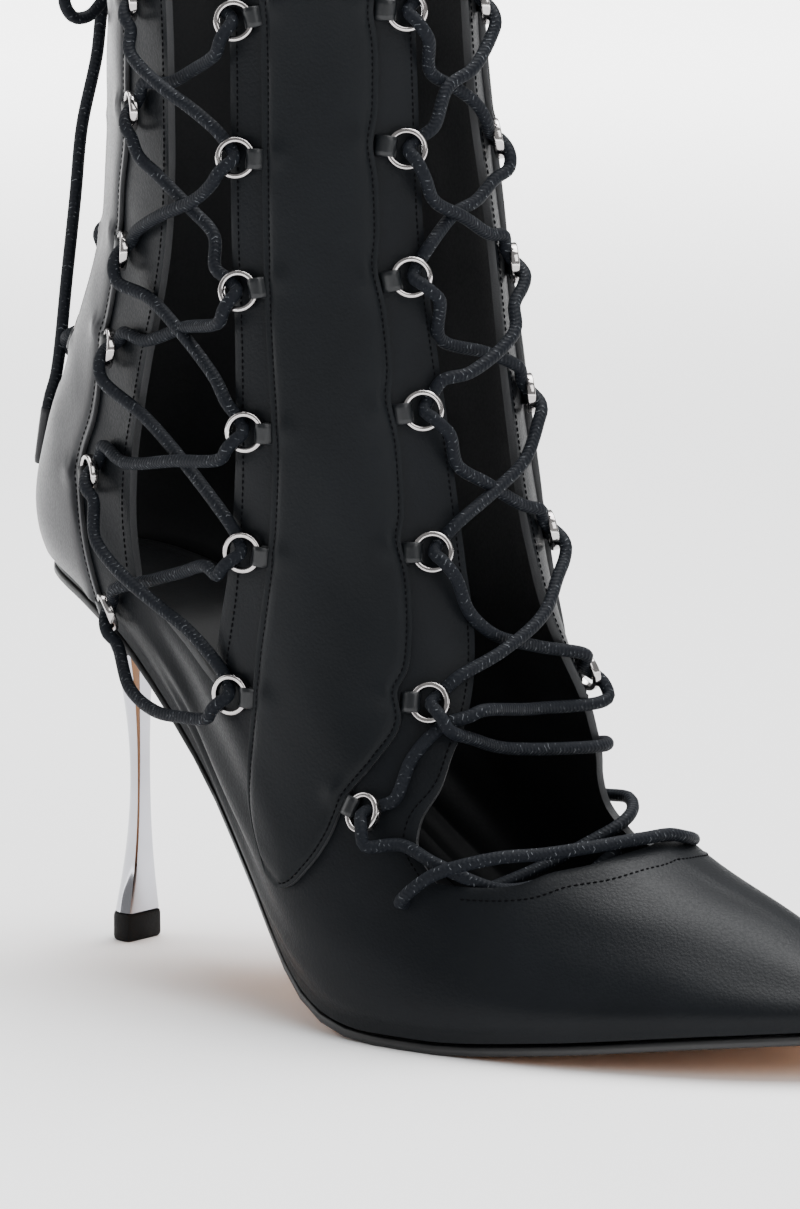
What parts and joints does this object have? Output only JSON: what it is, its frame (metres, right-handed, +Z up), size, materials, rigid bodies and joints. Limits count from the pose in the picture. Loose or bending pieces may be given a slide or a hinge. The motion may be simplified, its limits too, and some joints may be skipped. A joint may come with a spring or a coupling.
{
  "type": "lace up ankle boot",
  "caption": "Pointed stiletto ankle boot with open lacing at the front, sides and back, ring eyelets on leather tabs, shaped overlays, a bow behind and a slim flared metal heel.",
  "frame": {"origin": "on the floor under the middle of the top lift", "axes": "+X to the toe, +Y to the inner side of the foot, +Z up"},
  "size_m": [0.2378, 0.0869, 0.2381],
  "materials": {
    "upper_leather": "matte smooth leather",
    "overlay_leather": "smooth leather",
    "outsole": "smooth, black edge",
    "insole": "glossy",
    "heel_metal": "polished",
    "heel_cover": "smooth leather",
    "top_lift": "matte",
    "eyelet_metal": "polished gunmetal",
    "lace_cord": "waxed braid"
  },
  "bodies": {
    "root": {"upper": "upper_leather", "outsole": "outsole", "insole": "insole", "heel": "heel_metal", "heel_cover": "heel_cover", "top_lift": "top_lift", "overlay_front_outer": "overlay_leather", "overlay_front_inner": "overlay_leather", "overlay_counter": "overlay_leather", "lace_front": "lace_cord", "lace_outer": "lace_cord", "lace_inner": "lace_cord", "lace_back": "lace_cord", "lace_bow": "lace_cord", "eyelet_front_outer_1": "eyelet_metal", "eyelet_front_outer_2": "eyelet_metal", "eyelet_front_outer_3": "eyelet_metal", "eyelet_front_outer_4": "eyelet_metal", "eyelet_front_outer_5": "eyelet_metal", "eyelet_front_outer_6": "eyelet_metal", "eyelet_front_outer_7": "eyelet_metal", "eyelet_front_inner_1": "eyelet_metal", "eyelet_front_inner_2": "eyelet_metal", "eyelet_front_inner_3": "eyelet_metal", "eyelet_front_inner_4": "eyelet_metal", "eyelet_front_inner_5": "eyelet_metal", "eyelet_front_inner_6": "eyelet_metal", "eyelet_front_inner_7": "eyelet_metal", "eyelet_panel_outer_1": "eyelet_metal", "eyelet_panel_outer_2": "eyelet_metal", "eyelet_panel_outer_3": "eyelet_metal", "eyelet_panel_outer_4": "eyelet_metal", "eyelet_panel_outer_5": "eyelet_metal", "eyelet_panel_outer_6": "eyelet_metal", "eyelet_panel_inner_1": "eyelet_metal", "eyelet_panel_inner_2": "eyelet_metal", "eyelet_panel_inner_3": "eyelet_metal", "eyelet_panel_inner_4": "eyelet_metal", "eyelet_panel_inner_5": "eyelet_metal", "eyelet_panel_inner_6": "eyelet_metal", "eyelet_counter_outer_1": "eyelet_metal", "eyelet_counter_outer_2": "eyelet_metal", "eyelet_counter_outer_3": "eyelet_metal", "eyelet_counter_outer_4": "eyelet_metal", "eyelet_counter_outer_5": "eyelet_metal", "eyelet_counter_outer_6": "eyelet_metal", "eyelet_counter_inner_1": "eyelet_metal", "eyelet_counter_inner_2": "eyelet_metal", "eyelet_counter_inner_3": "eyelet_metal", "eyelet_counter_inner_4": "eyelet_metal", "eyelet_counter_inner_5": "eyelet_metal", "eyelet_counter_inner_6": "eyelet_metal", "eyelet_back_outer_1": "eyelet_metal", "eyelet_back_outer_2": "eyelet_metal", "eyelet_back_outer_3": "eyelet_metal", "eyelet_back_outer_4": "eyelet_metal", "eyelet_back_inner_1": "eyelet_metal", "eyelet_back_inner_2": "eyelet_metal", "eyelet_back_inner_3": "eyelet_metal", "eyelet_back_inner_4": "eyelet_metal"}
  },
  "joints": []
}
